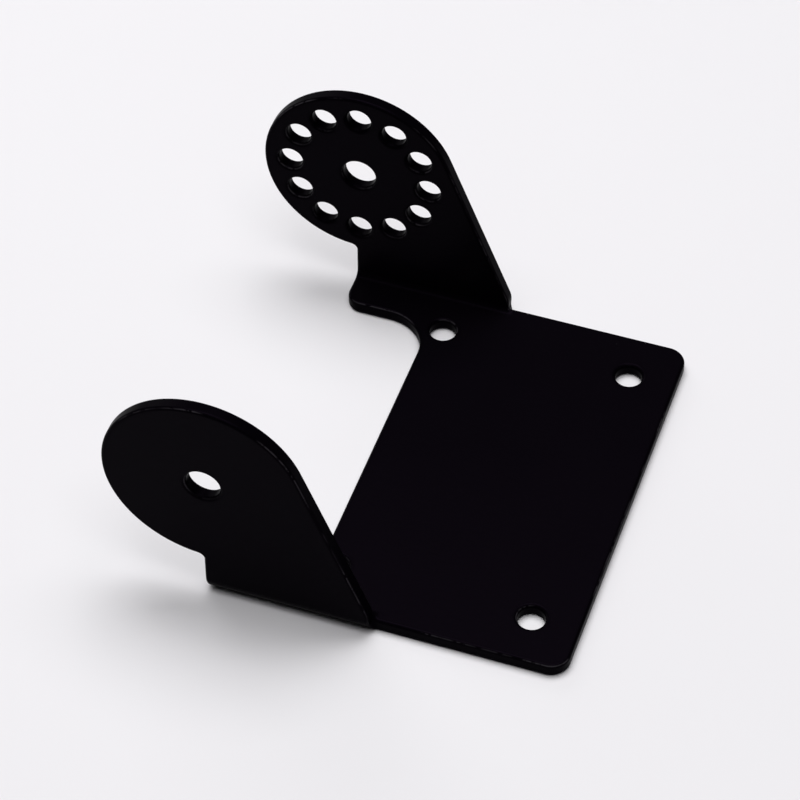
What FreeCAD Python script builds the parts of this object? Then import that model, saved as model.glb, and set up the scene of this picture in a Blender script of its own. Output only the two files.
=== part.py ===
import FreeCAD, Part
import math
import os

# Tilt yoke bracket of a small camera mount.
#
# One sheet blank, folded up twice: a base plate with two round ears that face
# each other. A shaft or a pair of screws through the ears carries the thing
# that tilts, and one ear has a ring of small holes for locking the angle.
#
# Frame, millimetres: +Z up, the plate lies flat on z = 0 and the ears stand up.
# +Y is the tilt axis and points at the ear with the ring of holes. +X points
# from the ears' overhang to the free edge of the plate. The origin is on the
# underside of the plate, midway between the ears, on the line through the two
# base holes nearest the ears.

# ---------------------------------------------------------------- sheet
SHEET_T = 2.2            # thickness of the sheet
BEND_R_IN = 1.0          # inside radius of both folds
EDGE_R = 0.5             # rounding of the punched and coated outer edges
HOLE_EDGE_R = 0.6        # rounding of the hole rims

# ---------------------------------------------------------------- base plate
PLATE_RIGHT_X = 37.4     # free long edge
PLATE_LEFT_X = -2.3      # edge between the feet
PLATE_HALF_Y = 32.85      # short edges
PLATE_CORNER_R = 3.0     # two free corners
BASE_HOLE_DX = 30.0      # pattern of the four base holes
BASE_HOLE_DY = 50.0
BASE_HOLE_R = 2.05       # clearance for an M4 screw

# ---------------------------------------------------------------- feet
FOOT_LEFT_X = -16.65     # outer edge of each foot and of the ear's neck
FOOT_INNER_Y = 26.1      # edge of each foot towards the middle
FOOT_CORNER_R = 2.5      # outer corner of each foot
FOOT_SWEEP_R = 6.7       # sweep from the foot into the plate edge

# ---------------------------------------------------------------- ears
EAR_OUTER_Y = 34.25      # outer face of each ear
EAR_DISC_R = 15.35
EAR_SLANT_DEG = 21.9     # slanted edge, measured from upright, tangent to the disc
EAR_SHOULDER_R = 4.0     # turns the slanted edge upright as it reaches the fold
EAR_NECK_R = 1.0         # inside corner under the disc
EAR_ROOT_R = 1.0         # inside corner between the fold and the plate's short edge
PIVOT_X = -16.15
PIVOT_Z = 23.75
PIVOT_HOLE_R = 2.6
RING_PITCH_R = 11.15      # circle of the locking holes
RING_COUNT = 12
RING_HOLE_R = 1.9

# ---------------------------------------------------------------- derived
X_AXIS = FreeCAD.Vector(1, 0, 0)
Y_AXIS = FreeCAD.Vector(0, 1, 0)
Z_AXIS = FreeCAD.Vector(0, 0, 1)
BEND_R_OUT = BEND_R_IN + SHEET_T
FOLD_TOP_Z = BEND_R_OUT                  # the ear is flat from here up
FOLD_START_Y = EAR_OUTER_Y - BEND_R_OUT  # the plate is flat up to here
EAR_INNER_Y = EAR_OUTER_Y - SHEET_T
TRIM = 6.0                               # spare stock cut off where pieces meet

# The slanted edge is a tangent of the disc: n . p = reach, n its outward normal.
SLANT_COS = math.cos(math.radians(EAR_SLANT_DEG))
SLANT_SIN = math.sin(math.radians(EAR_SLANT_DEG))
EAR_REACH = SLANT_COS * PIVOT_X + SLANT_SIN * PIVOT_Z + EAR_DISC_R
SHOULDER_X = (EAR_REACH - EAR_SHOULDER_R - SLANT_SIN * FOLD_TOP_Z) / SLANT_COS
FOLD_RIGHT_X = SHOULDER_X + EAR_SHOULDER_R   # where the ear's edge enters the fold


def on_arc(centre, radius, degrees):
    """Point on a circle, angle measured from the first axis."""
    a = math.radians(degrees)
    return (centre[0] + radius * math.cos(a), centre[1] + radius * math.sin(a))


def arc(centre, radius, start, end):
    """Arc item between two angles in degrees."""
    middle = (start + end) / 2.0
    return ("arc", on_arc(centre, radius, start), on_arc(centre, radius, middle),
            on_arc(centre, radius, end))


def outline_face(items, place):
    """Face inside a closed chain of line and arc items, placed in space."""
    edges = []
    for item in items:
        points = [place(p) for p in item[1:]]
        if item[0] == "line":
            edges.append(Part.makeLine(points[0], points[1]))
        else:
            edges.append(Part.Arc(points[0], points[1], points[2]).toShape())
    return Part.Face(Part.Wire(edges))


def on_underside(point):
    """Plan point (x, y) on the underside of the plate."""
    return FreeCAD.Vector(point[0], point[1], 0)


def on_ear(point):
    """Ear point (x, z) on the inner face of the +Y ear."""
    return FreeCAD.Vector(point[0], EAR_INNER_Y, point[1])


def half_plan(side):
    """Outline of one half of the plate, from its free edge round to its inner edge."""
    end_y = side * (EAR_OUTER_Y + TRIM)
    corner = (PLATE_RIGHT_X - PLATE_CORNER_R, side * (PLATE_HALF_Y - PLATE_CORNER_R))
    root = (FOLD_RIGHT_X + EAR_ROOT_R, side * (PLATE_HALF_Y + EAR_ROOT_R))
    foot = (FOOT_LEFT_X + FOOT_CORNER_R, side * (FOOT_INNER_Y + FOOT_CORNER_R))
    sweep = (PLATE_LEFT_X - FOOT_SWEEP_R, side * (FOOT_INNER_Y - FOOT_SWEEP_R))
    return [
        ("line", (PLATE_RIGHT_X, 0), (PLATE_RIGHT_X, corner[1])),
        arc(corner, PLATE_CORNER_R, 0, side * 90),
        ("line", (corner[0], side * PLATE_HALF_Y), (root[0], side * PLATE_HALF_Y)),
        arc(root, EAR_ROOT_R, side * 270, side * 180),
        ("line", (FOLD_RIGHT_X, root[1]), (FOLD_RIGHT_X, end_y)),
        ("line", (FOLD_RIGHT_X, end_y), (FOOT_LEFT_X, end_y)),
        ("line", (FOOT_LEFT_X, end_y), (FOOT_LEFT_X, foot[1])),
        arc(foot, FOOT_CORNER_R, side * 180, side * 270),
        ("line", (foot[0], side * FOOT_INNER_Y), (sweep[0], side * FOOT_INNER_Y)),
        arc(sweep, FOOT_SWEEP_R, side * 90, 0),
        ("line", (PLATE_LEFT_X, sweep[1]), (PLATE_LEFT_X, 0)),
    ]


def flat_part():
    """Plate and feet with rounded edges, trimmed where the folds begin."""
    there = half_plan(1)
    back = []
    for item in reversed(half_plan(-1)):
        back.append((item[0],) + tuple(reversed(item[1:])))
    blank = outline_face(there + back, on_underside).extrude(SHEET_T * Z_AXIS)
    blank = blank.removeSplitter()
    blank = blank.makeFillet(EDGE_R, rim_edges(blank, Z_AXIS))
    length = FOLD_RIGHT_X - FOOT_LEFT_X + TRIM
    spare_x = FOLD_RIGHT_X - length
    depth = 2 * TRIM + BEND_R_OUT
    corner = FreeCAD.Vector(spare_x, FOLD_START_Y, -TRIM)
    spare = Part.makeBox(length, depth, 3 * TRIM, corner)
    return blank.cut([spare, mirrored(spare)])


def ear_part():
    """The flat upper part of the +Y ear with rounded edges, trimmed at the fold."""
    centre = (PIVOT_X, PIVOT_Z)
    shoulder = (SHOULDER_X, FOLD_TOP_Z)
    bottom_z = FOLD_TOP_Z - TRIM
    neck_x = FOOT_LEFT_X - EAR_NECK_R
    neck_drop = math.sqrt((EAR_DISC_R + EAR_NECK_R) ** 2 - (neck_x - PIVOT_X) ** 2)
    neck = (neck_x, PIVOT_Z - neck_drop)
    neck_deg = math.degrees(math.atan2(neck[1] - PIVOT_Z, neck[0] - PIVOT_X)) % 360
    items = [
        ("line", (FOOT_LEFT_X, bottom_z), (FOLD_RIGHT_X, bottom_z)),
        ("line", (FOLD_RIGHT_X, bottom_z), (FOLD_RIGHT_X, FOLD_TOP_Z)),
        arc(shoulder, EAR_SHOULDER_R, 0, EAR_SLANT_DEG),
        ("line", on_arc(shoulder, EAR_SHOULDER_R, EAR_SLANT_DEG),
         on_arc(centre, EAR_DISC_R, EAR_SLANT_DEG)),
        arc(centre, EAR_DISC_R, EAR_SLANT_DEG, neck_deg),
        arc(neck, EAR_NECK_R, neck_deg - 180, 0),
        ("line", (FOOT_LEFT_X, neck[1]), (FOOT_LEFT_X, bottom_z)),
    ]
    blank = outline_face(items, on_ear).extrude(SHEET_T * Y_AXIS)
    blank = blank.makeFillet(EDGE_R, rim_edges(blank, Y_AXIS))
    corner = FreeCAD.Vector(FOOT_LEFT_X - TRIM, EAR_INNER_Y - TRIM, bottom_z - TRIM)
    spare = Part.makeBox(50.0, 3 * TRIM, 2 * TRIM, corner)
    return blank.cut(spare)


def fold_part():
    """The bent strip between the plate and the +Y ear: its section swung a quarter turn."""
    section = Part.makePlane(
        FOLD_RIGHT_X - FOOT_LEFT_X, SHEET_T,
        FreeCAD.Vector(FOOT_LEFT_X, FOLD_START_Y, 0), -1 * Y_AXIS, X_AXIS)
    strip = section.extrude(Y_AXIS * -1.0)
    along_y = [e for e in strip.Edges if abs(e.tangentAt(e.FirstParameter).dot(Y_AXIS)) > 0.99]
    strip = strip.makeFillet(EDGE_R, along_y)
    face = None
    for candidate in strip.Faces:
        if abs(candidate.CenterOfMass.y - FOLD_START_Y) < 1e-6:
            face = candidate
    pin = FreeCAD.Vector(0, FOLD_START_Y, FOLD_TOP_Z)
    return face.revolve(pin, X_AXIS, 90)


def rim_edges(shape, normal):
    """Edges that bound the two broad faces lying square to a direction."""
    edges = []
    for face in shape.Faces:
        if face.Surface.TypeId != "Part::GeomPlane":
            continue
        if abs(face.normalAt(0, 0).dot(normal)) > 0.99:
            edges.extend(face.Edges)
    return edges


def mirrored(shape):
    """The same shape on the other ear's side."""
    return shape.mirror(FreeCAD.Vector(0, 0, 0), Y_AXIS)


def is_hole_rim(edge):
    """True for the full circles left by the drills."""
    if edge.Curve.TypeId != "Part::GeomCircle":
        return False
    return edge.Curve.Radius < 4.0 and edge.isClosed()


def upright_drill(x, y, radius):
    """Tool for a hole straight down through the plate."""
    return Part.makeCylinder(radius, 3 * SHEET_T, FreeCAD.Vector(x, y, -SHEET_T), Z_AXIS)


def ear_drill(x, z, radius, low_y):
    """Tool for a hole along the tilt axis through the ear whose lower face is at low_y."""
    start = FreeCAD.Vector(x, low_y - SHEET_T, z)
    return Part.makeCylinder(radius, 3 * SHEET_T, start, Y_AXIS)


def make_bracket():
    """The whole folded sheet with its holes."""
    ear = ear_part()
    fold = fold_part()
    sheet = flat_part().fuse([fold, ear, mirrored(fold), mirrored(ear)])
    sheet = sheet.removeSplitter()
    drills = []
    for x in (0.0, BASE_HOLE_DX):
        for y in (-BASE_HOLE_DY / 2.0, BASE_HOLE_DY / 2.0):
            drills.append(upright_drill(x, y, BASE_HOLE_R))
    for low_y in (EAR_INNER_Y, -EAR_OUTER_Y):
        drills.append(ear_drill(PIVOT_X, PIVOT_Z, PIVOT_HOLE_R, low_y))
    for i in range(RING_COUNT):
        x, z = on_arc((PIVOT_X, PIVOT_Z), RING_PITCH_R, i * 360.0 / RING_COUNT)
        drills.append(ear_drill(x, z, RING_HOLE_R, EAR_INNER_Y))
    sheet = sheet.cut(drills)
    rims = [edge for edge in sheet.Edges if is_hole_rim(edge)]
    return sheet.makeFillet(HOLE_EDGE_R, rims)


os.makedirs("parts", exist_ok=True)
bracket = make_bracket()
bracket.exportStep("parts/tilt_bracket.step")
box = bracket.optimalBoundingBox(False)
print("solids", len(bracket.Solids), "faces", len(bracket.Faces), "valid", bracket.isValid())
print("size", round(box.XLength, 3), round(box.YLength, 3), round(box.ZLength, 3))
print("x", round(box.XMin, 3), round(box.XMax, 3), "z", round(box.ZMin, 3), round(box.ZMax, 3))
print("volume", round(bracket.Volume, 2), "fold right x", round(FOLD_RIGHT_X, 3))
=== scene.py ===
"""A tilt bracket folded from one sheet of metal, black coated, on a pale studio table.

The bracket is made the way a press shop makes it. A flat blank is punched out with all
its holes, its edges are rounded over by the coating, and the blank is then folded up
along two lines into a base plate with two round ears.
"""

import logging
import math
from dataclasses import dataclass, field
from enum import Enum

import bpy
import numpy as np
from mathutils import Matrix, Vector
from mathutils.geometry import delaunay_2d_cdt


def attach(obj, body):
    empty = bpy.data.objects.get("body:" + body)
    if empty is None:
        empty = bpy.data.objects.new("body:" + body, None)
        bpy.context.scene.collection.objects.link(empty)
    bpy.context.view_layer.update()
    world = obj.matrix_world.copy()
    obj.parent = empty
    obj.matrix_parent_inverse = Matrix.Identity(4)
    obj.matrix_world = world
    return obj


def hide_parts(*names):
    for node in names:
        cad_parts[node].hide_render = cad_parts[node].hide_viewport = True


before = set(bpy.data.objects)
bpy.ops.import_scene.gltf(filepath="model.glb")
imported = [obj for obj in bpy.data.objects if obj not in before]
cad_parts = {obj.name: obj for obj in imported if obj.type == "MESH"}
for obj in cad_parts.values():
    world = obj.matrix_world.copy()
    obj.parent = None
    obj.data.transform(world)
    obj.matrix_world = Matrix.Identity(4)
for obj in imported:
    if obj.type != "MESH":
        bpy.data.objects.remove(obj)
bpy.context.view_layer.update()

MM = 0.001
log = logging.getLogger("bracket")


class Side(Enum):
    """The two ends of the plate, by the sign of Y."""

    FRONT = -1
    BACK = 1


class Skin(Enum):
    """The two broad faces of the sheet, by the share of its thickness below the inner one."""

    INNER = 0
    OUTER = 1


@dataclass
class Rim:
    """A closed line round the blank or round a hole, with the metal on its left.

    Attributes:
        points: The line's corners on the blank, millimetres, one row each.
        outward: The direction out of the metal at each corner, length one.
        rounding: How far the rim is rounded over at both skins.
    """

    points: np.ndarray
    outward: np.ndarray
    rounding: float


@dataclass
class RimPen:
    """Draws a rim from straight runs and arcs.

    Attributes:
        run_step: Longest straight piece, millimetres.
        arc_step: Longest turn between two corners, degrees.
    """

    run_step: float
    arc_step: float
    points: list[tuple[float, float]] = field(default_factory=list)
    outward: list[tuple[float, float]] = field(default_factory=list)

    def run(self, start: tuple[float, float], end: tuple[float, float]) -> None:
        """Adds a straight run, without its last corner.

        Args:
            start: First corner.
            end: Where the next piece begins.
        """
        dx, dv = end[0] - start[0], end[1] - start[1]
        length = math.hypot(dx, dv)
        pieces = max(1, math.ceil(length / self.run_step))
        for i in range(pieces):
            share = i / pieces
            self.points.append((start[0] + share * dx, start[1] + share * dv))
            self.outward.append((dv / length, -dx / length))

    def arc(self, centre: tuple[float, float], radius: float, start: float, end: float) -> None:
        """Adds an arc, without its last corner.

        Args:
            centre: Middle of the arc.
            radius: Radius of the arc.
            start: First angle in degrees, from the X axis.
            end: Last angle. A smaller one than the first makes an inside corner.
        """
        bulge = 1.0 if end > start else -1.0
        pieces = max(4, math.ceil(abs(end - start) / self.arc_step))
        for i in range(pieces):
            angle = math.radians(start + (end - start) * i / pieces)
            cos, sin = math.cos(angle), math.sin(angle)
            self.points.append((centre[0] + radius * cos, centre[1] + radius * sin))
            self.outward.append((bulge * cos, bulge * sin))

    def close(self, rounding: float) -> Rim:
        """Returns the finished rim, rounded over by the given radius."""
        return Rim(np.array(self.points), np.array(self.outward), rounding)


@dataclass
class FoldPress:
    """Folds the flat blank up along one line at each end of the plate.

    Attributes:
        sheet: Thickness of the sheet, millimetres.
        inside_radius: Inside radius of the fold.
        start: Distance of the fold's start from the middle of the plate.
        full_to: The fold is complete up to this X.
        none_from: The sheet stays flat from this X on.
        rows: Strips that each fold is divided into.
    """

    sheet: float = 2.2
    inside_radius: float = 1.0
    start: float = 31.05
    full_to: float = 8.344
    none_from: float = 9.344
    rows: int = 10

    @property
    def length(self) -> float:
        """Length of sheet that the fold takes up, along its middle."""
        return math.pi / 2 * (self.inside_radius + self.sheet / 2)

    @property
    def end(self) -> float:
        """Distance on the blank at which the ear is flat again."""
        return self.start + self.length

    @property
    def top(self) -> float:
        """Height at which the ear is flat again."""
        return self.inside_radius + self.sheet

    def row_lines(self) -> list[float]:
        """Returns the distances on the blank of the lines that divide the fold."""
        return [self.start + self.length * i / self.rows for i in range(self.rows + 1)]

    def on_blank(self, height: float) -> float:
        """Returns where on the blank a height on the ear comes from."""
        return self.end + height - self.top

    def amount(self, x: np.ndarray) -> np.ndarray:
        """Returns how much of the full fold the sheet takes at each X, from 0 to 1."""
        t = np.clip((self.none_from - x) / (self.none_from - self.full_to), 0.0, 1.0)
        return t * t * (3.0 - 2.0 * t)

    def share(self, flat: np.ndarray) -> np.ndarray:
        """Returns how deep in a fold each point of the blank lies, 1 in its middle."""
        past = np.clip((np.abs(flat[:, 1]) - self.start) / self.length, 0.0, 1.0)
        return self.amount(flat[:, 0]) * np.sqrt(4.0 * past * (1.0 - past))

    def fold(self, flat: np.ndarray,
             depth: np.ndarray) -> tuple[np.ndarray, np.ndarray, np.ndarray]:
        """Folds points of the blank.

        Args:
            flat: Points on the blank, X and distance along Y, one row each.
            depth: Depth of each point below the inner skin.

        Returns:
            The points in space, the direction along the sheet away from the plate's
            middle line, and the direction out of the inner skin, one row each.
        """
        x, v = flat[:, 0], flat[:, 1]
        sign = np.where(v < 0, -1.0, 1.0)
        past = np.maximum(np.abs(v) - self.start, 0.0)
        curved = np.minimum(past, self.length)
        straight = past - curved
        turn = self.amount(x) * curved / self.length * (math.pi / 2)
        safe = np.where(turn < 1e-6, 1.0, turn)
        reach = np.where(turn < 1e-6, curved, curved * np.sin(turn) / safe)
        climb = np.where(turn < 1e-6, 0.0, curved * (1.0 - np.cos(turn)) / safe)
        cos, sin = np.cos(turn), np.sin(turn)
        lift = self.sheet / 2 - depth
        flat_y = np.minimum(np.abs(v), self.start)
        y = flat_y + reach + straight * cos - lift * sin
        z = self.sheet / 2 + climb + straight * sin + lift * cos
        zero = np.zeros_like(x)
        places = np.stack([x, sign * y, z], axis=1)
        along = np.stack([zero, sign * cos, sin], axis=1)
        out = np.stack([zero, -sign * sin, cos], axis=1)
        return places, along, out


@dataclass
class Blank:
    """The flat punched sheet, millimetres.

    Attributes:
        press: The fold that the blank is made for.
        plate_right: X of the plate's free long edge.
        plate_left: X of the edge inside the notch.
        plate_half: Half the plate's width along Y.
        plate_corner: Radius of the plate's two free corners.
        foot_left: X of the feet's ends.
        foot_inner: Distance of a foot's inner edge from the middle of the plate.
        foot_corner: Radius of a foot's free corner.
        foot_sweep: Radius of the inside corner between foot and notch.
        disc_radius: Radius of an ear's disc.
        slant: Lean of an ear's long edge, degrees.
        shoulder: Radius between the long edge and the fold.
        neck: Radius of the inside corner between disc and foot.
        root: Radius of the inside corner between fold and plate.
        pivot_x: X of the pivot holes.
        pivot_height: Height of the pivot holes on the folded ear.
        pivot_radius: Radius of the pivot holes.
        ring_pitch: Radius of the circle that the ring's holes lie on.
        ring_count: Holes in the ring.
        ring_radius: Radius of a ring hole.
        base_spacing: Pattern of the base holes along X and Y.
        base_radius: Radius of a base hole.
        edge_rounding: Rounding of the outline.
        hole_rounding: Rounding of the holes' rims.
        run_step: Longest straight piece of a rim.
        arc_step: Longest turn between corners of the outline, degrees.
        hole_step: The same for a hole.
        grid_step: Distance between the broad faces' points.
    """

    press: FoldPress = field(default_factory=FoldPress)
    plate_right: float = 37.4
    plate_left: float = -2.3
    plate_half: float = 32.85
    plate_corner: float = 3.0
    foot_left: float = -16.65
    foot_inner: float = 26.1
    foot_corner: float = 2.5
    foot_sweep: float = 6.7
    disc_radius: float = 15.347
    slant: float = 21.9
    shoulder: float = 4.0
    neck: float = 1.0
    root: float = 1.0
    pivot_x: float = -16.15
    pivot_height: float = 23.75
    pivot_radius: float = 2.6
    ring_pitch: float = 11.15
    ring_count: int = 12
    ring_radius: float = 1.9
    base_spacing: tuple[float, float] = (30.0, 50.0)
    base_radius: float = 2.05
    edge_rounding: float = 0.5
    hole_rounding: float = 0.6
    run_step: float = 1.5
    arc_step: float = 2.0
    hole_step: float = 7.5
    grid_step: float = 1.5

    @property
    def pivot(self) -> tuple[float, float]:
        """Middle of the ear's disc on the blank."""
        return (self.pivot_x, self.press.on_blank(self.pivot_height))

    def half_edge(self, pen: RimPen) -> None:
        """Draws the outline from the middle of the free edge round to the inner edge.

        Args:
            pen: The pen that draws it.
        """
        press = self.press
        cos, sin = math.cos(math.radians(self.slant)), math.sin(math.radians(self.slant))
        px, pv = self.pivot
        reach = cos * px + sin * pv + self.disc_radius
        shoulder = ((reach - self.shoulder - sin * press.end) / cos, press.end)
        fold_right = shoulder[0] + self.shoulder
        neck_x = self.foot_left - self.neck
        drop = math.sqrt((self.disc_radius + self.neck) ** 2 - (neck_x - px) ** 2)
        neck = (neck_x, pv - drop)
        neck_angle = math.degrees(math.atan2(-drop, neck_x - px)) % 360
        corner = (self.plate_right - self.plate_corner, self.plate_half - self.plate_corner)
        root = (fold_right + self.root, self.plate_half + self.root)
        foot = (self.foot_left + self.foot_corner, self.foot_inner + self.foot_corner)
        sweep = (self.plate_left - self.foot_sweep, self.foot_inner - self.foot_sweep)

        pen.run((self.plate_right, 0.0), (self.plate_right, corner[1]))
        pen.arc(corner, self.plate_corner, 0.0, 90.0)
        pen.run((corner[0], self.plate_half), (root[0], self.plate_half))
        pen.arc(root, self.root, 270.0, 180.0)
        stops = [root[1]] + [line for line in press.row_lines() if line > root[1] + 0.05]
        for low, high in zip(stops[:-1], stops[1:]):
            pen.run((fold_right, low), (fold_right, high))
        pen.arc(shoulder, self.shoulder, 0.0, self.slant)
        pen.run(self.on_circle(shoulder, self.shoulder, self.slant),
                self.on_circle(self.pivot, self.disc_radius, self.slant))
        pen.arc(self.pivot, self.disc_radius, self.slant, neck_angle)
        pen.arc(neck, self.neck, neck_angle - 180.0, 0.0)
        stops = [neck[1]] + press.row_lines()[::-1] + [foot[1]]
        for high, low in zip(stops[:-1], stops[1:]):
            pen.run((self.foot_left, high), (self.foot_left, low))
        pen.arc(foot, self.foot_corner, 180.0, 270.0)
        pen.run((foot[0], self.foot_inner), (sweep[0], self.foot_inner))
        pen.arc(sweep, self.foot_sweep, 90.0, 0.0)
        pen.run((self.plate_left, sweep[1]), (self.plate_left, 0.0))

    @staticmethod
    def on_circle(centre: tuple[float, float], radius: float,
                  degrees: float) -> tuple[float, float]:
        """Returns the point of a circle at an angle from the X axis."""
        angle = math.radians(degrees)
        return (centre[0] + radius * math.cos(angle), centre[1] + radius * math.sin(angle))

    def outline(self) -> Rim:
        """Returns the blank's outer rim, the same at both ends of the plate."""
        pen = RimPen(self.run_step, self.arc_step)
        self.half_edge(pen)
        half = pen.close(self.edge_rounding)
        last = np.array([[self.plate_left, 0.0]])
        flip = np.array([1.0, -1.0])
        points = np.concatenate([half.points, last, half.points[:0:-1] * flip])
        outward = np.concatenate([half.outward, [[-1.0, 0.0]], half.outward[:0:-1] * flip])
        return Rim(points, outward, self.edge_rounding)

    def hole(self, centre: tuple[float, float], radius: float) -> Rim:
        """Returns the rim of a round hole.

        Args:
            centre: Middle of the hole on the blank.
            radius: Radius of the hole.

        Returns:
            The rim, drawn with the metal on its left.
        """
        pen = RimPen(self.run_step, self.hole_step)
        pen.arc(centre, radius, 360.0, 0.0)
        return pen.close(self.hole_rounding)

    def holes(self) -> list[Rim]:
        """Returns the rims of the base holes, the two pivot holes and the ring."""
        found = []
        for x in (0.0, self.base_spacing[0]):
            for side in Side:
                spot = (x, side.value * self.base_spacing[1] / 2)
                found.append(self.hole(spot, self.base_radius))
        px, pv = self.pivot
        for side in Side:
            found.append(self.hole((px, side.value * pv), self.pivot_radius))
        for i in range(self.ring_count):
            spot = self.on_circle(self.pivot, self.ring_pitch, i * 360.0 / self.ring_count)
            found.append(self.hole(spot, self.ring_radius))
        return found


@dataclass
class Bracket:
    """The folded sheet as one closed mesh.

    Attributes:
        blank: The flat sheet that it is folded from.
        rim_segments: Facets across the rounding of a rim.
        rim_margin: Width of the flat band beside each rounding.
        fold_gap: Least distance of a filling point from a rim in a fold, millimetres.
        flat_gap: The same on a flat part, as a share of the grid step.
        name: Name of the object.
    """

    blank: Blank = field(default_factory=Blank)
    rim_segments: int = 5
    rim_margin: float = 0.3
    fold_gap: float = 0.2
    flat_gap: float = 0.45
    name: str = "folded_bracket"

    def section(self, rounding: float) -> list[tuple[float, float, float, float, float]]:
        """Returns the cross section of a rim, from the inner skin to the outer one.

        Args:
            rounding: Radius of the rim's two rounded corners.

        Returns:
            For each step its inset, its depth, the parts of its normal out of the rim
            and out of the inner skin, and how much it counts as rim, from 0 to 1.
        """
        sheet = self.blank.press.sheet
        upper = [(rounding + self.rim_margin, 0.0, 0.0, 1.0, 0.0)]
        for i in range(self.rim_segments + 1):
            angle = math.pi / 2 * i / self.rim_segments
            side, up = math.sin(angle), math.cos(angle)
            upper.append((rounding * (1 - side), rounding * (1 - up), side, up, 0.4 + 0.6 * side))
        lower = [(inset, sheet - depth, side, -up, rim)
                 for inset, depth, side, up, rim in reversed(upper)]
        return upper + lower

    @staticmethod
    def in_metal(spots: np.ndarray, rims: list[np.ndarray]) -> np.ndarray:
        """Says which spots of the blank lie in the metal.

        Args:
            spots: Points on the blank, one row each.
            rims: The closed lines that bound the metal.

        Returns:
            True for each spot that an odd number of lines goes round.
        """
        inside = np.zeros(len(spots), dtype=bool)
        x, v = spots[:, 0], spots[:, 1]
        for line in rims:
            for (x0, v0), (x1, v1) in zip(line, np.roll(line, -1, axis=0)):
                if v0 == v1:
                    continue
                crosses = (v0 > v) != (v1 > v)
                inside ^= crosses & (x < x0 + (v - v0) * (x1 - x0) / (v1 - v0))
        return inside

    @staticmethod
    def gap_to(spots: np.ndarray, rims: list[np.ndarray]) -> np.ndarray:
        """Returns how far each spot of the blank is from the nearest line."""
        gap = np.full(len(spots), np.inf)
        for line in rims:
            ahead = np.roll(line, -1, axis=0)
            for a, b in zip(line, ahead):
                way = b - a
                share = np.clip((spots - a) @ way / max(way @ way, 1e-12), 0.0, 1.0)
                near = a + share[:, None] * way
                gap = np.minimum(gap, np.hypot(*(spots - near).T))
        return gap

    def filling(self, rims: list[np.ndarray]) -> np.ndarray:
        """Returns points spread over the blank's broad face, in rows along each fold.

        Args:
            rims: The lines that bound the broad face.

        Returns:
            Points on the blank, one row each.
        """
        blank, press = self.blank, self.blank.press
        step = blank.grid_step
        top = blank.pivot[1] + blank.disc_radius
        lines = list(np.arange(0.0, press.start, press.start / round(press.start / step)))
        lines = lines[:-1] if press.start - lines[-1] < step / 2 else lines
        lines += press.row_lines()
        lines += list(np.arange(press.end + step / 2, top, step))
        columns = np.arange(blank.pivot_x - blank.disc_radius, blank.plate_right, step)
        both = sorted({-line for line in lines} | set(lines))
        grid = np.array([(x, v) for v in both for x in columns])
        grid = grid[self.in_metal(grid, rims)]
        away = np.abs(grid[:, 1])
        folded = (away >= press.start - 1e-6) & (away <= press.end + 1e-6)
        needed = np.where(folded, self.fold_gap, self.flat_gap * step)
        return grid[self.gap_to(grid, rims) > needed]

    def build(self) -> bpy.types.Object:
        """Builds the closed mesh and returns its object."""
        press = self.blank.press
        rims = [self.blank.outline()] + self.blank.holes()
        flat, depth, lean, rimness, faces = [], [], [], [], []
        inner_loops, outer_loops, borders = [], [], []
        count = 0
        for rim in rims:
            steps = self.section(rim.rounding)
            size = len(rim.points)
            for inset, down, side, up, share in steps:
                flat.append(rim.points - inset * rim.outward)
                depth.append(np.full(size, down))
                lean.append(np.column_stack([side * rim.outward, np.full(size, up)]))
                rimness.append(np.full(size, share))
            for i in range(size):
                ahead = (i + 1) % size
                for j in range(len(steps) - 1):
                    near, far = count + j * size, count + (j + 1) * size
                    faces.append((near + i, far + i, far + ahead, near + ahead))
            inner_loops.append(np.arange(count, count + size))
            outer_loops.append(np.arange(count, count + size) + (len(steps) - 1) * size)
            borders.append(rim.points - steps[0][0] * rim.outward)
            count += size * len(steps)

        spots = self.filling(borders)
        corners = np.concatenate(borders + [spots])
        inner_ids = list(np.concatenate(inner_loops)) + list(range(count, count + len(spots)))
        outer_ids = list(np.concatenate(outer_loops)) + list(
            range(count + len(spots), count + 2 * len(spots)))
        for skin in Skin:
            flat.append(spots)
            depth.append(np.full(len(spots), skin.value * press.sheet))
            up = 1.0 if skin is Skin.INNER else -1.0
            lean.append(np.column_stack([np.zeros((len(spots), 2)), np.full(len(spots), up)]))
            rimness.append(np.zeros(len(spots)))
        for a, b, c in self.triangles(corners, borders):
            faces.append((inner_ids[a], inner_ids[b], inner_ids[c]))
            faces.append((outer_ids[c], outer_ids[b], outer_ids[a]))

        return self.to_object(np.concatenate(flat), np.concatenate(depth),
                              np.concatenate(lean), np.concatenate(rimness), faces)

    def triangles(self, corners: np.ndarray,
                  borders: list[np.ndarray]) -> list[tuple[int, int, int]]:
        """Divides the broad face of the blank into triangles.

        Args:
            corners: Every point to use, the borders' points first.
            borders: The lines that bound the broad face.

        Returns:
            Triangles of indices into the corners, anticlockwise.
        """
        edges, count = [], 0
        for line in borders:
            edges += [(count + i, count + (i + 1) % len(line)) for i in range(len(line))]
            count += len(line)
        cells = delaunay_2d_cdt([Vector(p) for p in corners], edges, [], 0, 1e-7)
        source = [ids[0] for ids in cells[3]]
        found = [tuple(source[i] for i in cell) for cell in cells[2]]
        middles = np.array([corners[list(cell)].mean(axis=0) for cell in found])
        keep = self.in_metal(middles, borders)
        result = []
        for cell, kept in zip(found, keep):
            if kept:
                a, b, c = (corners[i] for i in cell)
                turn = (b[0] - a[0]) * (c[1] - a[1]) - (b[1] - a[1]) * (c[0] - a[0])
                result.append(cell if turn > 0 else cell[::-1])
        return result

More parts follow.
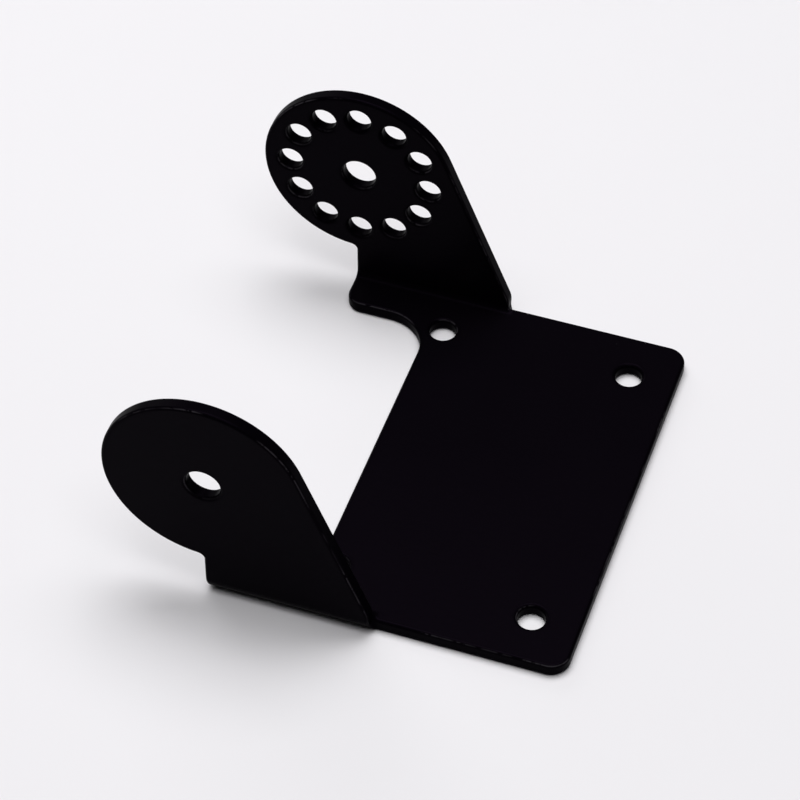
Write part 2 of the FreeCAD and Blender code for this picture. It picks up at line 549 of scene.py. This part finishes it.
    def to_object(self, flat: np.ndarray, depth: np.ndarray, lean: np.ndarray,
                  rimness: np.ndarray, faces: list[tuple[int, ...]]) -> bpy.types.Object:
        """Folds the points and makes the object.

        Args:
            flat: Every point's place on the blank.
            depth: Every point's depth below the inner skin.
            lean: Every point's normal, in the blank's own directions.
            rimness: How much each point counts as rim, from 0 to 1.
            faces: The mesh's faces, as indices of points.

        Returns:
            The object, in metres, with its normals set.
        """
        places, along, out = self.blank.press.fold(flat, depth)
        sign = np.where(flat[:, 1] < 0, -1.0, 1.0)[:, None]
        across = np.tile([1.0, 0.0, 0.0], (len(flat), 1))
        normals = lean[:, :1] * across + lean[:, 1:2] * sign * along + lean[:, 2:] * out
        normals /= np.linalg.norm(normals, axis=1)[:, None]
        mesh = bpy.data.meshes.new(self.name)
        mesh.from_pydata((places * MM).tolist(), [], [tuple(int(i) for i in f) for f in faces])
        mesh.polygons.foreach_set("use_smooth", [True] * len(mesh.polygons))
        rim = mesh.attributes.new("rim", "FLOAT", "POINT")
        rim.data.foreach_set("value", rimness.astype(np.float32))
        fold = mesh.attributes.new("fold", "FLOAT", "POINT")
        fold.data.foreach_set("value", self.blank.press.share(flat).astype(np.float32))
        mesh.update()
        mesh.normals_split_custom_set_from_vertices(normals.tolist())
        thing = bpy.data.objects.new(self.name, mesh)
        bpy.context.scene.collection.objects.link(thing)
        return thing


class NodeDesk:
    """Places and wires shader nodes in one tree."""

    def __init__(self, tree: bpy.types.NodeTree) -> None:
        """Starts work on a tree."""
        self.tree = tree

    def add(self, kind: str, **values: object) -> bpy.types.Node:
        """Adds a node.

        Args:
            kind: The node's type name.
            values: Properties of the node, and values of its inputs by name, with
                underscores for spaces.

        Returns:
            The node.
        """
        node = self.tree.nodes.new(kind)
        for key, value in values.items():
            socket = node.inputs.get(key.replace("_", " "))
            if hasattr(node, key):
                setattr(node, key, value)
            elif socket is not None:
                socket.default_value = value
            else:
                raise KeyError(f"{kind} has no {key}")
        return node

    def wire(self, source: bpy.types.NodeSocket, target: bpy.types.NodeSocket) -> None:
        """Wires one socket to another."""
        self.tree.links.new(source, target)

    def maths(self, operation: str, first: object, second: object = None) -> bpy.types.NodeSocket:
        """Adds a sum of two values.

        Args:
            operation: The Math node's operation.
            first: A socket or a number.
            second: A socket or a number.

        Returns:
            The result's socket.
        """
        node = self.tree.nodes.new("ShaderNodeMath")
        node.operation = operation
        for slot, value in enumerate((first, second)):
            if isinstance(value, bpy.types.NodeSocket):
                self.wire(value, node.inputs[slot])
            elif value is not None:
                node.inputs[slot].default_value = value
        return node.outputs[0]

    def blend(self, share: bpy.types.NodeSocket, low: object,
              high: object) -> bpy.types.NodeSocket:
        """Adds a mix of two colours.

        Args:
            share: How much of the second colour shows.
            low: The first colour, or a socket.
            high: The second colour, or a socket.

        Returns:
            The mixed colour's socket.
        """
        node = self.tree.nodes.new("ShaderNodeMix")
        node.data_type = "RGBA"
        self.wire(share, node.inputs[0])
        for slot, value in ((6, low), (7, high)):
            if isinstance(value, bpy.types.NodeSocket):
                self.wire(value, node.inputs[slot])
            else:
                node.inputs[slot].default_value = (*value, 1.0)
        return node.outputs[2]


class EffectShelf:
    """The shader node groups that several finishes share, each built once."""

    @staticmethod
    def start(name: str, inputs: dict[str, tuple[str, float]], outputs: list[str],
              ) -> tuple[bpy.types.NodeTree, NodeDesk, bpy.types.Node, bpy.types.Node]:
        """Starts a group with its sockets.

        Args:
            name: Name of the group.
            inputs: Kind and first value of each input by name.
            outputs: Names of the outputs, all plain values.

        Returns:
            The group, a desk for it, and its input and output nodes.
        """
        tree = bpy.data.node_groups.new(name, "ShaderNodeTree")
        for key, (kind, value) in inputs.items():
            socket = tree.interface.new_socket(key, in_out="INPUT", socket_type=kind)
            if kind == "NodeSocketFloat":
                socket.default_value = value
        for key in outputs:
            tree.interface.new_socket(key, in_out="OUTPUT", socket_type="NodeSocketFloat")
        desk = NodeDesk(tree)
        return tree, desk, desk.add("NodeGroupInput"), desk.add("NodeGroupOutput")

    @classmethod
    def grain(cls) -> bpy.types.NodeTree:
        """Returns the group for a sprayed or rolled surface: soft bumps with finer ones on top."""
        found = bpy.data.node_groups.get("surface_grain")
        if found:
            return found
        tree, desk, given, result = cls.start(
            "surface_grain",
            {"Place": ("NodeSocketVector", 0.0), "Bump Scale": ("NodeSocketFloat", 900.0),
             "Grit Scale": ("NodeSocketFloat", 5000.0), "Grit Share": ("NodeSocketFloat", 0.3)},
            ["Height", "Patch"])
        soft = desk.add("ShaderNodeTexNoise", Detail=2.0, Roughness=0.5)
        grit = desk.add("ShaderNodeTexNoise", Detail=3.0, Roughness=0.6)
        patch = desk.add("ShaderNodeTexNoise", Detail=4.0, Roughness=0.55)
        for node in (soft, grit, patch):
            desk.wire(given.outputs["Place"], node.inputs["Vector"])
        desk.wire(given.outputs["Bump Scale"], soft.inputs["Scale"])
        desk.wire(given.outputs["Grit Scale"], grit.inputs["Scale"])
        desk.wire(desk.maths("MULTIPLY", given.outputs["Bump Scale"], 0.06), patch.inputs["Scale"])
        fine = desk.maths("MULTIPLY", grit.outputs[0], given.outputs["Grit Share"])
        desk.wire(desk.maths("ADD", soft.outputs[0], fine), result.inputs["Height"])
        desk.wire(patch.outputs[0], result.inputs["Patch"])
        return tree

    @classmethod
    def dust(cls) -> bpy.types.NodeTree:
        """Returns the group for loose specks of dust."""
        found = bpy.data.node_groups.get("dust_specks")
        if found:
            return found
        tree, desk, given, result = cls.start(
            "dust_specks",
            {"Place": ("NodeSocketVector", 0.0), "Scale": ("NodeSocketFloat", 260.0),
             "Size": ("NodeSocketFloat", 0.03)},
            ["Mask"])
        cells = desk.add("ShaderNodeTexVoronoi", feature="F1")
        desk.wire(given.outputs["Place"], cells.inputs["Vector"])
        desk.wire(given.outputs["Scale"], cells.inputs["Scale"])
        close = desk.maths("SUBTRACT", given.outputs["Size"], cells.outputs["Distance"])
        mask = desk.maths("MULTIPLY", close, 60.0)
        mask = desk.maths("MINIMUM", desk.maths("MAXIMUM", mask, 0.0), 1.0)
        desk.wire(mask, result.inputs["Mask"])
        return tree


@dataclass(frozen=True)
class BlackCoat:
    """Satin black powder coat over steel, with less sheen and painted shade on the rims, and
    painted highlight dashes along them.

    Attributes:
        colour: Colour of the coat on the broad faces.
        rim_shade_colour: Painted shade, a darker colour on the rims and in the folds.
        painted_highlight_colour: Colour of the painted highlight dashes.
        dust: Colour of the specks.
        tint: Tint of the sheen.
        roughness: Mean roughness.
        specular: Strength of the sheen on a broad face.
        dulling: How much of the sheen is lost on a rim.
        fold_share: How far a fold counts as rim, for the painted shade and the lost sheen.
        corner: Share of rim at the middle of a rounding, where the painted highlight line runs.
        corner_width: Half the width of the painted highlight line, in the same measure.
        stretch_least: Least value of the coarse pattern that leaves a dash.
        ragged_least: Least value of the fine pattern that leaves a dash.
        dash_edge: How sharply a dash ends.
        name: Name of the material.
    """

    colour: tuple[float, float, float] = (0.00165, 0.00112, 0.0021)
    rim_shade_colour: tuple[float, float, float] = (0.0012, 0.0008, 0.0016)
    painted_highlight_colour: tuple[float, float, float] = (0.034, 0.031, 0.036)
    dust: tuple[float, float, float] = (0.16, 0.155, 0.16)
    tint: tuple[float, float, float] = (0.82, 0.55, 1.0)
    roughness: float = 0.36
    specular: float = 0.014
    dulling: float = 0.35
    fold_share: float = 0.9
    corner: float = 0.82
    corner_width: float = 0.12
    stretch_least: float = 0.46
    ragged_least: float = 0.38
    dash_edge: float = 9.0
    name: str = "black_coat"

    def make(self) -> bpy.types.Material:
        """Returns the material."""
        material = bpy.data.materials.new(self.name)
        material.use_nodes = True
        material.diffuse_color = (*self.colour, 1.0)
        desk = NodeDesk(material.node_tree)
        shader = material.node_tree.nodes["Principled BSDF"]
        shader.inputs["Specular Tint"].default_value = (*self.tint, 1.0)
        place = desk.add("ShaderNodeTexCoord").outputs["Object"]

        grain = desk.add("ShaderNodeGroup", node_tree=EffectShelf.grain(),
                         Bump_Scale=950.0, Grit_Scale=5200.0, Grit_Share=0.25)
        dust = desk.add("ShaderNodeGroup", node_tree=EffectShelf.dust(), Scale=150.0, Size=0.012)
        desk.wire(place, grain.inputs["Place"])
        desk.wire(place, dust.inputs["Place"])

        rim = desk.add("ShaderNodeAttribute", attribute_name="rim").outputs["Fac"]
        fold = desk.add("ShaderNodeAttribute", attribute_name="fold").outputs["Fac"]
        # Mask of the rims and folds, for their lost sheen and their painted shade.
        rim_shade_and_dulling = desk.maths("MAXIMUM", rim, desk.maths("MULTIPLY", fold, self.fold_share))
        kept = desk.maths("SUBTRACT", 1.0, desk.maths("MULTIPLY", rim_shade_and_dulling, self.dulling))
        sheen = desk.maths("MULTIPLY", kept, self.specular)
        desk.wire(sheen, shader.inputs["Specular IOR Level"])

        # Painted highlight: lighter dashes along the middle of each rim's rounding, standing in
        # for the light caught by the rounded edges.
        stretch = desk.add("ShaderNodeTexNoise", Scale=110.0, Detail=2.0, Roughness=0.5)
        ragged = desk.add("ShaderNodeTexNoise", Scale=900.0, Detail=3.0, Roughness=0.6)
        desk.wire(place, stretch.inputs["Vector"])
        desk.wire(place, ragged.inputs["Vector"])
        off = desk.maths("ABSOLUTE", desk.maths("SUBTRACT", rim, self.corner))
        line = desk.maths("SUBTRACT", 1.0, desk.maths("DIVIDE", off, self.corner_width))
        painted_highlight_mask = desk.maths("MAXIMUM", line, 0.0)
        for node, least in ((stretch, self.stretch_least), (ragged, self.ragged_least)):
            above = desk.maths("SUBTRACT", node.outputs[0], least)
            shown = desk.maths("MAXIMUM", desk.maths("MULTIPLY", above, self.dash_edge), 0.0)
            painted_highlight_mask = desk.maths("MULTIPLY", painted_highlight_mask, desk.maths("MINIMUM", shown, 1.0))
        # Painted shade: the rims and folds are coloured darker than the broad faces.
        colour = desk.blend(rim_shade_and_dulling, self.colour, self.rim_shade_colour)
        # Painted highlight dashes laid over the coat's colour.
        colour = desk.blend(painted_highlight_mask, colour, self.painted_highlight_colour)
        colour = desk.blend(dust.outputs["Mask"], colour, self.dust)
        desk.wire(colour, shader.inputs["Base Color"])

        uneven = desk.maths("MULTIPLY", desk.maths("SUBTRACT", grain.outputs["Patch"], 0.5), 0.16)
        rough = desk.maths("ADD", uneven, self.roughness)
        rough = desk.maths("SUBTRACT", rough, desk.maths("MULTIPLY", rim, 0.06))
        rough = desk.maths("ADD", rough, desk.maths("MULTIPLY", dust.outputs["Mask"], 0.4))
        desk.wire(rough, shader.inputs["Roughness"])

        bump = desk.add("ShaderNodeBump", Strength=0.35, Distance=0.00003)
        desk.wire(grain.outputs["Height"], bump.inputs["Height"])
        desk.wire(bump.outputs["Normal"], shader.inputs["Normal"])
        return material


@dataclass(frozen=True)
class PaleTable:
    """Smooth pale table top with a faint cool tint and soft clouds in it."""

    colour: tuple[float, float, float] = (0.80, 0.785, 0.81)
    cloud: tuple[float, float, float] = (0.82, 0.81, 0.835)
    roughness: float = 0.62
    name: str = "pale_table"

    def make(self) -> bpy.types.Material:
        """Returns the material."""
        material = bpy.data.materials.new(self.name)
        material.use_nodes = True
        desk = NodeDesk(material.node_tree)
        shader = material.node_tree.nodes["Principled BSDF"]
        shader.inputs["Specular IOR Level"].default_value = 0.2
        place = desk.add("ShaderNodeTexCoord").outputs["Object"]
        grain = desk.add("ShaderNodeGroup", node_tree=EffectShelf.grain(),
                         Bump_Scale=160.0, Grit_Scale=2600.0, Grit_Share=0.5)
        desk.wire(place, grain.inputs["Place"])
        desk.wire(desk.blend(grain.outputs["Patch"], self.colour, self.cloud),
                  shader.inputs["Base Color"])
        uneven = desk.maths("MULTIPLY", grain.outputs["Patch"], 0.08)
        desk.wire(desk.maths("ADD", uneven, self.roughness), shader.inputs["Roughness"])
        bump = desk.add("ShaderNodeBump", Strength=0.08, Distance=0.00005)
        desk.wire(grain.outputs["Height"], bump.inputs["Height"])
        desk.wire(bump.outputs["Normal"], shader.inputs["Normal"])
        return material


@dataclass(frozen=True)
class SoftBox:
    """A square soft light aimed at the object.

    Attributes:
        name: Name of the light.
        azimuth: Direction it shines from, degrees anticlockwise from +X.
        elevation: Height above the table, degrees.
        distance: Distance from the object, metres.
        width: Side of the light, metres.
        watts: Power.
        tint: Colour of the light.
    """

    name: str
    azimuth: float
    elevation: float
    distance: float
    width: float
    watts: float
    tint: tuple[float, float, float] = (1.0, 1.0, 1.0)

    def place(self, aim: Vector) -> None:
        """Puts the light in the scene, facing the aim."""
        data = bpy.data.lights.new(self.name, "AREA")
        data.shape = "SQUARE"
        data.size = self.width
        data.energy = self.watts
        data.color = self.tint
        lamp = bpy.data.objects.new(self.name, data)
        turn, rise = math.radians(self.azimuth), math.radians(self.elevation)
        reach = math.cos(rise)
        way = Vector((math.cos(turn) * reach, math.sin(turn) * reach, math.sin(rise)))
        lamp.location = aim + self.distance * way
        lamp.rotation_euler = (-way).to_track_quat("-Z", "Y").to_euler()
        bpy.context.scene.collection.objects.link(lamp)


@dataclass
class Studio:
    """Table, soft lights, surroundings and camera.

    Attributes:
        azimuth: Camera direction, degrees from the front towards +X.
        elevation: Camera height, degrees above the table.
        distance: Camera distance from its aim, metres.
        aim: The point that the camera looks at, metres.
        lens: Focal length on a 36 mm wide sensor, millimetres.
        table_half: Half the table's width, metres.
        surround: Strength of the surroundings' glow.
        backdrop: Colour of the surroundings where they are seen directly.
        boxes: The soft lights.
    """

    azimuth: float = 18.86
    elevation: float = 47.64
    distance: float = 0.48975
    aim: tuple[float, float, float] = (0.002248, -0.002231, 0.0150)
    lens: float = 149.94
    table_half: float = 3.0
    surround: float = 0.02
    backdrop: tuple[float, float, float] = (0.86, 0.85, 0.875)
    boxes: tuple[SoftBox, ...] = (
        SoftBox("back_box", 120.0, 72.0, 1.0, 0.5, 3.65),
        SoftBox("left_box", 180.0, 72.0, 1.0, 0.5, 2.65),
        SoftBox("right_box", 60.0, 72.0, 1.0, 0.5, 2.35),
        SoftBox("front_box", 300.0, 72.0, 1.0, 0.5, 2.85),
        SoftBox("low_box", 135.0, 25.0, 1.0, 0.6, 1.67),
    )

    def table(self) -> None:
        """Builds the table top."""
        half = self.table_half
        mesh = bpy.data.meshes.new("table_top")
        mesh.from_pydata([(-half, -half, 0), (half, -half, 0), (half, half, 0), (-half, half, 0)],
                         [], [(0, 1, 2, 3)])
        top = bpy.data.objects.new("table_top", mesh)
        bpy.context.scene.collection.objects.link(top)
        mesh.materials.append(PaleTable().make())

    def lights(self) -> None:
        """Places the soft lights and the pale surroundings."""
        for box in self.boxes:
            box.place(Vector((0.0, 0.0, 0.0)))
        world = bpy.data.worlds.new("studio")
        world.use_nodes = True
        desk = NodeDesk(world.node_tree)
        glow = world.node_tree.nodes["Background"]
        seen = desk.add("ShaderNodeLightPath").outputs["Is Camera Ray"]
        room = tuple(self.surround * part for part in self.backdrop)
        desk.wire(desk.blend(seen, room, self.backdrop), glow.inputs["Color"])
        bpy.context.scene.world = world

    def camera(self) -> None:
        """Places the camera and makes it the scene's own."""
        data = bpy.data.cameras.new("camera")
        data.sensor_width = 36.0
        data.lens = self.lens
        data.clip_start = 0.01
        eye = bpy.data.objects.new("camera", data)
        turn, rise = math.radians(self.azimuth), math.radians(self.elevation)
        reach = math.cos(rise)
        way = Vector((math.sin(turn) * reach, -math.cos(turn) * reach, math.sin(rise)))
        eye.location = Vector(self.aim) + self.distance * way
        eye.rotation_euler = (-way).to_track_quat("-Z", "Y").to_euler()
        bpy.context.scene.collection.objects.link(eye)
        bpy.context.scene.camera = eye

    def build(self) -> None:
        """Sets up the whole studio."""
        self.table()
        self.lights()
        self.camera()
        view = bpy.context.scene.view_settings
        view.view_transform = "Standard"
        view.look = "None"


def main() -> None:
    """Builds the bracket and the studio, and reports each piece."""
    logging.basicConfig(level=logging.INFO, format="%(message)s")
    bracket = Bracket()
    piece = bracket.build()
    piece.data.materials.append(BlackCoat().make())
    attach(piece, "root")
    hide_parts("tilt_bracket")
    log.info("%s: %d faces", piece.name, len(piece.data.polygons))
    studio = Studio()
    studio.build()
    log.info("studio: table, %d lights, camera", len(studio.boxes))


if __name__ == "__main__":
    main()
